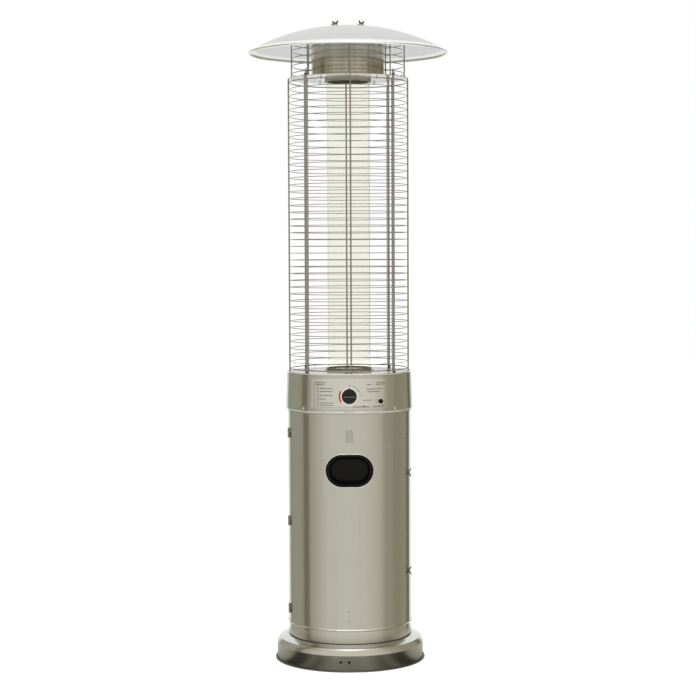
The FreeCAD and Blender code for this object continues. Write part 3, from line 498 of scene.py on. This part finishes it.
# dark metal for the nuts and studs, and also for the painted shadow beads at the base's foot and under the
# collar
dark_nut = plain_metal("dark_nut", (0.13, 0.12, 0.115), 0.38)
screw_metal = plain_metal("screw_metal", (0.22, 0.21, 0.19), 0.26)
hinge_metal = plain_metal("hinge_metal", (0.34, 0.335, 0.31), 0.26)
brass = plain_metal("brass", (0.66, 0.49, 0.22), 0.26)
white_ink = plain_metal("label_white", (0.97, 0.97, 0.97), 0.12, variety=0.02)
black = moulded_plastic("black_plastic", (0.0035, 0.0035, 0.003), 0.42, specular=0.16)
knob_black = moulded_plastic("knob_plastic", (0.005, 0.005, 0.006), 0.20, grain=0.05, specular=0.35)
ceramic = moulded_plastic("ceramic", (0.80, 0.78, 0.72), 0.2, grain=0.03)
rubber = moulded_plastic("seal_rubber", (0.27, 0.25, 0.19), 0.6)
# painted shade: near-black stuff for the hollows behind the base's holes
hole_shade = moulded_plastic("hole_shade", (0.004, 0.004, 0.004), 0.7, specular=0.1)
ink = printed("label_ink", (0.05, 0.05, 0.045))
red_ink = printed("label_red", (0.66, 0.02, 0.02))
# painted highlight: the light line along the knob's bar, made with the ink shader
bar_highlight = printed("knob_bar_highlight", (0.28, 0.28, 0.28))
glass = clear_glass()


# ---------------------------------------------------------------- carried-over CAD pieces

CARRIED = {
    zinc: ["base_plate", "frame_posts", "housing_floor", "valve_bracket", "injector_bracket",
           "pilot_bracket", "latch_catches", "dome_bracket", "upper_ring"],
    bright: ["panel_screws", "burner_screws", "exhaust_screws", "dome_studs", "dome_spacers",
             "dome_washers", "igniter_ring", "igniter_spring", "valve_stem", "stem_clip", "pilot_burner",
             "thermocouple", "pilot_pipe", "gas_pipe"],
    hinge_metal: ["hinge_leaves_fixed", "hinge_leaves_door", "hinge_pins"],
    screw_metal: ["wing_screw_lower", "wing_screw_upper", "wing_nuts"],
    brass: ["gas_valve", "gas_inlet", "injector"],
    black: ["igniter_body", "tilt_switch", "igniter_button", "door_handle"],
    ceramic: ["ignition_electrode"],
    rubber: ["tube_seals"],
    dark_nut: ["post_nuts"],
    base_steel: ["base_shell", "base_collar"],
    trim_steel: ["lower_ring"],
    plate_steel: ["top_plate", "shelf_plate"],
    body_steel: ["rear_shell", "door_shell", "control_housing"],
    heat_steel: ["exhaust_shell", "burner_head", "burner_tube"],
    dome_metal: ["reflector_dome"],
    label_face: ["control_label"],
    knob_black: ["control_knob"],
    glass: ["glass_tube"],
    wire_metal: ["upper_guard", "lower_guard_front", "lower_guard_right", "lower_guard_back",
                 "lower_guard_left"],
    post_metal: ["support_posts"],
}


def dress_cad_nodes():
    """Give each CAD node its material and smooth shading, without moving a vertex."""
    for material, names in CARRIED.items():
        for name in names:
            mesh = frame["nodes"][name].data
            mesh.materials.clear()
            mesh.materials.append(material)
            mesh.polygons.foreach_set("use_smooth", [True] * len(mesh.polygons))
            mesh.update()


def make_igniter_coil():
    """The igniter's spring as a piece of its own, in place of the CAD spring."""
    mesh = frame["nodes"]["igniter_spring"].data.copy()
    coil = make_object("igniter_coil", mesh, bright, replaces=("igniter_spring",))
    reaches = [vertex.co.dot(IGNITER_OUT) for vertex in mesh.vertices]
    seat = (low("igniter_spring") + high("igniter_spring")) / 2
    seat += IGNITER_OUT * (min(reaches) - seat.dot(IGNITER_OUT))
    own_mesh(coil)


dress_cad_nodes()
make_igniter_coil()


# ---------------------------------------------------------------- printed panel

LABEL_LIFT = 0.80 * MM
HEAT_MARK_RADII, HEAT_MARK_ANGLES = (24.6 * MM, 29.5 * MM), (148, 216)
KNOB_RING_RADII = (20.4 * MM, 24.2 * MM)
IGNITER_RING_RADII = (9.3 * MM, 10.2 * MM)
DIAL_MIDDLE = (0.0, KNOB_AXIS.z)
IGNITER_MIDDLE = (IGNITER_OUT.x * housing_radius(IGNITER_HEIGHT), IGNITER_HEIGHT)

# everything printed, in millimetres: start from the middle, width, height
LEFT_ROWS = [(-94, 28, 799), (-94, 26, 794), (-81, 35, 783), (-81, 36, 775), (-81, 35, 764), (-83, 17, 754),
             (-81, 37, 743), (-81, 36, 737)]
RIGHT_ROWS = [(48, 13, 794), (74, 25, 794), (74, 25, 799), (48, 42, 781), (50, 36, 774), (39, 24, 751),
              (10, 46, 733), (66, 34, 733), (84, 13, 737)]
ROW_RISE = 1.9 * MM
# blocks and ruled lines: start from the middle, height, width, rise
BLOCKS = [(-88, height, 2.6, 2.6) for height in (783, 775, 764, 754, 743, 737)]
BLOCKS += [(-87.2, 768, 0.7, 60), (-97, 766, 0.6, 70), (99, 766, 0.6, 70), (-97, 731, 196, 0.6),
           (38, 735, 5, 2.6)]
# marks round the knob and the igniter: inner and outer radius, half width in degrees, steps, middle, angles
MARKS = [(28, 31, 2.4, 4, DIAL_MIDDLE, (28, 40, 52, 64, 88)),
         (30, 31.5, 2, 4, DIAL_MIDDLE, (0, 12)),
         (10.6, 12.4, 9, 6, IGNITER_MIDDLE, (100, 160, 200, 250))]


def panel_bar(across, height, width, rise):
    """One printed bar, split across so that it follows the curved panel."""
    steps = max(1, math.ceil(width / (6 * MM)))
    vertices = []
    for step in range(steps + 1):
        x = across + width * step / steps
        vertices += [panel_point(x, height + side * rise / 2, LABEL_LIFT) for side in (-1, 1)]
    return vertices, strip_faces(steps)


def line_of_words(across, height, width, rise, seed):
    """A printed line as a row of plain word-length bars."""
    draw = random.Random(seed)
    gap, shortest = 0.9 * MM, 0.8 * MM
    bars = []
    x = across
    while x < across + width:
        word = min(draw.uniform(2.2, 7.0) * MM, across + width - x)
        if word > shortest:
            bars.append(panel_bar(x, height, word, rise))
        x += word + gap
    return bars


def panel_ring(inner, outer, start, stop, middle=DIAL_MIDDLE, lift=LABEL_LIFT, steps=64):
    """A printed ring or part of one round a point of the panel; angles run anticlockwise from +X."""
    vertices = []
    for step in range(steps + 1):
        turn = math.radians(start + (stop - start) * step / steps)
        for radius in (inner, outer):
            across, up = radius * math.cos(turn), radius * math.sin(turn)
            vertices.append(panel_point(middle[0] + across, middle[1] + up, lift))
    return vertices, strip_faces(steps, turned=True)


def make_print():
    bars = []
    for seed, (across, width, height) in enumerate(LEFT_ROWS + RIGHT_ROWS):
        bars += line_of_words(across * MM, height * MM, width * MM, ROW_RISE, seed)
    for block in BLOCKS:
        bars.append(panel_bar(*(size * MM for size in block)))
    for inner, outer, half, steps, middle, angles in MARKS:
        bars += [panel_ring(inner * MM, outer * MM, angle - half, angle + half, middle, steps=steps)
                 for angle in angles]
    make_piece("label_print", bars, ink)
    make_piece("label_heat_mark", [panel_ring(*HEAT_MARK_RADII, *HEAT_MARK_ANGLES)], red_ink)
    around_knob = panel_ring(*KNOB_RING_RADII, 0, 360, lift=LABEL_LIFT + 0.05 * MM)
    around_igniter = panel_ring(*IGNITER_RING_RADII, 0, 360, IGNITER_MIDDLE)
    make_piece("label_dial", [around_knob, around_igniter], white_ink)


make_print()


# ---------------------------------------------------------------- knob details

def make_knob_details():
    """Grip ribs round the knob's skirt, and a painted highlight along its bar where the bar's top catches
    the light.
    """
    place = Matrix.Translation(KNOB_AXIS) @ Matrix.Rotation(math.radians(90), 4, "X")
    count, reach, foot, head = 30, 20.9 * MM, 0.6 * MM, 2.6 * MM
    ribs = []
    for step in range(count):
        turn = math.radians(360 * step / count)
        spot = Vector((reach * math.cos(turn), reach * math.sin(turn), 0))
        ends = [place @ (spot + Vector((0, 0, rise))) for rise in (foot, head)]
        ribs.append(tube(ends, 0.55 * MM, sides=8))
    make_piece("knob_ribs", ribs, knob_black, body="control_knob")
    # painted highlight: a thin light strip across the bar's face, standing in for the light its top edge
    # catches
    corners = [(x * 17 * MM, y * 0.45 * MM, 0.2 * MM) for x, y in ((-1, -1), (1, -1), (1, 1), (-1, 1))]
    line = prism_part(rounded(corners, 3), place, 18.4 * MM, 18.62 * MM)
    make_piece("knob_highlight_strip", [line], bar_highlight, body="control_knob")


make_knob_details()


# ---------------------------------------------------------------- door details

def make_handle_trim():
    """A bright lip where the grip's rim meets the door, and a soft bead on the rim itself."""
    for name, growth, lift, radius, metal in (("handle_lip", 2.6 * MM, 0.5 * MM, 1.1 * MM, trim_steel),
                                              ("handle_bead", -2.6 * MM, 1.2 * MM, 1.2 * MM, black)):
        outline = stadium_outline(HANDLE_WIDTH + growth, HANDLE_RISE + growth, 40)
        path = [shell_point(x, HANDLE_HEIGHT + z, lift) for x, z in outline]
        make_piece(name, [tube(path, radius, closed=True)], metal, body="door")


def make_emblem():
    """A thin round-topped plate on the door with a plain pressed border."""
    half, rise, crown = 9.5 * MM, 36.0 * MM, 9.5 * MM
    middle = 634.0 * MM + rise / 2
    outline = [(-half, 0.0), (half, 0.0)]
    outline += [(half * math.cos(turn), rise - crown + crown * math.sin(turn))
                for turn in (math.pi * step / 20 for step in range(21))]

    def loop(across_share, height_share, lift):
        return [shell_point(x * across_share, middle + (z - rise / 2) * height_share, lift)
                for x, z in outline]

    plate = loop(1.0, 1.0, 0.02 * MM) + loop(0.94, 0.97, 0.5 * MM)
    make_piece("door_emblem", [(plate, band_faces(len(outline)))], emblem_steel, body="door")
    border = tube(loop(0.72, 0.84, 0.5 * MM), 0.3 * MM, sides=6, closed=True)
    make_piece("emblem_border", [border], emblem_dark, body="door")


def rivet(radius, angle, height, head=2.4 * MM, rise=1.1 * MM):
    """A domed rivet head on a round wall, its skirt sunk a little into the wall."""
    dome = [(0.9, None), (1.0, 0.0), (0.98, 0.30), (0.80, 0.68), (0.45, 0.93), (0.0, 1.0)]
    outline = [(head * across, -0.3 * MM if up is None else rise * up) for across, up in dome]
    return turned_part(outline, outward(radius, angle, height), sides=20)


def make_rivets():
    heads = [rivet(SHELL_RADIUS, angle, height * MM) for angle in (-66.5, 64.0) for height in (652, 163)]
    make_piece("door_rivets", heads, bright, body="door")
    studs = [rivet(SHELL_RADIUS, -1.3, height * MM, head=1.5 * MM, rise=0.5 * MM) for height in (161, 136)]
    make_piece("door_studs", studs, dark_nut, body="door")
    leaf_face = SHELL_RADIUS + 1.4 * MM
    for name, body, angle, offsets in (("hinge_rivets_door", "door", -71.4, (4, 10)),
                                       ("hinge_rivets_fixed", FRAME_BODY, -75.6, (-4, -10))):
        screws = [rivet(leaf_face, angle, (height + offset) * MM, head=1.5 * MM, rise=0.8 * MM)
                  for height in HINGE_HEIGHTS for offset in offsets]
        make_piece(name, screws, bright, body=body)


make_handle_trim()
make_emblem()
make_rivets()


# ---------------------------------------------------------------- rolled edges and holes

# name, metal, and beads as (ring radius, height, bead radius)
EDGE_BEADS = [
    ("housing_lip", trim_steel, [(HOUSING_FOOT_RADIUS - 0.2 * MM, HOUSING_LOW + 1.6 * MM, 1.5 * MM),
                                 (HOUSING_FOOT_RADIUS - 2.6 * MM, HOUSING_LOW - 1.3 * MM, 1.1 * MM)]),
    ("housing_rim", trim_steel, [(HOUSING_HEAD_RADIUS - 0.9 * MM, PLATE_TOP - 1.9 * MM, 1.7 * MM)]),
    # painted shadow: a dark bead round the base's foot, standing in for the shadow line where it meets the
    # floor
    ("base_lip_shadow", dark_nut, [(BASE_RADIUS - 2.5 * MM, 2.65 * MM, 2.6 * MM)]),
    # painted shadow: a dark bead at the collar's foot, standing in for the shade in the gap under the collar
    ("collar_gap_shadow", dark_nut, [(COLLAR_RADIUS + 0.6 * MM, BASE_TOP + 0.9 * MM, 1.0 * MM)]),
]
COLLAR_TOP_BEADS = [
    ("collar_bead", trim_steel, [(COLLAR_RADIUS - 0.1 * MM, COLLAR_TOP - 0.2 * MM, 1.4 * MM)]),
]


def make_beads(table):
    """Round beads about the main axis."""
    steps = 192
    for name, metal, beads in table:
        rings = []
        for reach, height, radius in beads:
            path = [around(reach, 360.0 * step / steps - 180.0, height) for step in range(steps)]
            rings.append(tube(path, radius, sides=12, closed=True))
        make_piece(name, rings, metal)


def make_hole_cups():
    """Near-black cups of painted shade behind the two holes low in the base, so that they read as deep."""
    wall, depth = 4.4 * MM, 8 * MM
    cups = []
    for across in BASE_HOLES_ACROSS:
        angle = math.degrees(math.asin(across / BASE_HOLE_REACH))
        place = outward(BASE_HOLE_REACH, angle, BASE_HOLE_HEIGHT)
        cups.append(turned_part([(wall, 0.0), (wall, -depth), (0.0, -depth)], place, sides=24))
    make_piece("base_hole_cups", cups, hole_shade)


make_beads(EDGE_BEADS)
make_hole_cups()
make_beads(COLLAR_TOP_BEADS)


# ---------------------------------------------------------------- studio

WHITE, BLACK = (1.0, 1.0, 1.0), (0.0, 0.0, 0.0)
PAPER = (0.94, 0.94, 0.94, 1.0)
CAMERA_PLACE = (-0.003, -5.12, 1.1605)
CAMERA_LENS = 93.1
CAMERA_DOWN, CAMERA_ROLL = 3.07, -0.23  # degrees

FLOOR_ROUND = [  # share of the half turn from the front to behind: colour that reflections see on the floor
    (0.00, (0.29, 0.285, 0.25)), (0.10, (0.32, 0.315, 0.28)), (0.19, (0.13, 0.125, 0.10)),
    (0.24, (0.20, 0.19, 0.16)), (0.29, (0.06, 0.06, 0.05)), (0.37, (0.05, 0.05, 0.04)),
    (0.42, (0.40, 0.39, 0.33)), (0.60, (0.70, 0.70, 0.66)), (1.00, (0.70, 0.70, 0.66)),
]
STUDIO_ROUND = [  # share of the turn from behind, by the left, front and right: the studio's colour there
    (0.000, (1.00, 1.00, 1.00)), (0.078, (0.95, 0.96, 0.93)), (0.092, (0.36, 0.37, 0.28)),
    (0.180, (0.42, 0.43, 0.33)), (0.230, (0.42, 0.40, 0.30)), (0.237, (0.24, 0.22, 0.15)),
    (0.270, (0.24, 0.21, 0.15)), (0.279, (0.48, 0.45, 0.36)), (0.330, (0.62, 0.58, 0.47)),
    (0.390, (0.75, 0.73, 0.62)), (0.500, (0.80, 0.78, 0.67)), (0.610, (0.74, 0.69, 0.58)),
    (0.668, (0.62, 0.57, 0.46)), (0.690, (0.46, 0.42, 0.32)), (0.745, (0.42, 0.39, 0.28)),
    (0.752, (0.36, 0.33, 0.23)), (0.862, (0.40, 0.37, 0.26)), (0.872, (0.20, 0.19, 0.12)),
    (0.908, (0.20, 0.19, 0.12)), (0.922, (0.95, 0.96, 0.93)), (1.000, (1.00, 1.00, 1.00)),
]
STUDIO_UP = [  # share of the way from straight down to straight up: how far the studio turns to plain white
    (0.00, WHITE), (0.30, WHITE), (0.38, BLACK), (0.78, BLACK), (0.88, WHITE), (1.00, WHITE),
]


def stage_object(name, vertices, faces, material):
    mesh = mesh_from(name, vertices, faces)
    piece = bpy.data.objects.new(name, mesh)
    bpy.context.scene.collection.objects.link(piece)
    mesh.materials.append(material)
    return piece


def make_floor():
    """A wide sheet of pale paper that glows a little, left out of reflections."""
    half = 14.0
    paper = Shader("floor_paper")
    paper.set(Base_Color=PAPER, Roughness=0.9, Emission_Color=PAPER, Emission_Strength=0.6)
    corners = [(-half, -half, 0), (half, -half, 0), (half, half, 0), (-half, half, 0)]
    floor = stage_object("studio_floor", corners, [(0, 1, 2, 3)], paper.material)
    floor.visible_glossy = False


def make_floor_shade():
    """A ring on the floor that only reflections see: grey in front, near black to each side, pale behind."""
    floor = Shader("floor_shade")
    x, y, _ = floor.split(floor.object_place())
    share = floor.math("DIVIDE", floor.math("ABSOLUTE", floor.turn(x, y)), math.pi)
    floor.paint(floor.ramp(share, FLOOR_ROUND))
    floor.set(Roughness=1.0, Specular_IOR_Level=0.0)
    inner, outer, height, steps = 0.216, 0.50, 0.001, 96
    ring = [around(reach, 360 * step / steps, height) for reach in (inner, outer) for step in range(steps)]
    faces = []
    for step in range(steps):
        following = (step + 1) % steps
        faces.append((step, following, steps + following, steps + step))
    shade_ring = stage_object("floor_shade", ring, faces, floor.material)
    shade_ring.visible_camera = False
    shade_ring.visible_diffuse = False
    shade_ring.visible_shadow = False


def make_world():
    """A soft studio: white above, below and behind, warm grey in front, darker at the sides."""
    world = bpy.data.worlds.new("studio")
    bpy.context.scene.world = world
    world.use_nodes = True
    sky = Nodes(world.node_tree)
    background = next(node for node in sky.tree.nodes if node.type == "BACKGROUND")
    x, y, z = sky.split(sky.node("ShaderNodeTexCoord").outputs["Generated"])
    share = sky.math("ADD", sky.math("DIVIDE", sky.turn(x, y), 2 * math.pi), 0.5)
    rise = sky.math("ADD", sky.math("DIVIDE", sky.math("ARCSINE", z), math.pi), 0.5)
    studio = sky.mix(sky.ramp(rise, STUDIO_UP), sky.ramp(share, STUDIO_ROUND), WHITE)
    # seen directly, or through the glass, it is plain white
    rays = sky.node("ShaderNodeLightPath")
    direct = sky.math("MAXIMUM", rays.outputs["Is Camera Ray"], rays.outputs["Is Transmission Ray"])
    sky.link(sky.mix(direct, studio, WHITE), background.inputs["Color"])
    background.inputs["Strength"].default_value = 1.0


def make_light():
    """One wide soft light overhead and a little in front."""
    data = bpy.data.lights.new("overhead", "AREA")
    data.shape = "DISK"
    data.size = 2.2
    data.energy = 12
    light = bpy.data.objects.new("overhead", data)
    bpy.context.scene.collection.objects.link(light)
    light.location = (0.0, -1.0, 3.6)
    target = Vector((0, 0, 0.4))
    light.rotation_euler = (target - light.location).to_track_quat("-Z", "Y").to_euler()


def make_camera():
    data = bpy.data.cameras.new("camera")
    data.lens = CAMERA_LENS
    data.sensor_width = 36.0
    camera = bpy.data.objects.new("camera", data)
    bpy.context.scene.collection.objects.link(camera)
    pitch = Matrix.Rotation(math.radians(90 - CAMERA_DOWN), 4, "X")
    roll = Matrix.Rotation(math.radians(CAMERA_ROLL), 4, "Z")
    camera.matrix_world = Matrix.Translation(CAMERA_PLACE) @ (pitch @ roll)
    bpy.context.scene.camera = camera


make_camera()
make_floor()
make_floor_shade()
make_world()
make_light()
bpy.context.scene.view_settings.view_transform = "Standard"
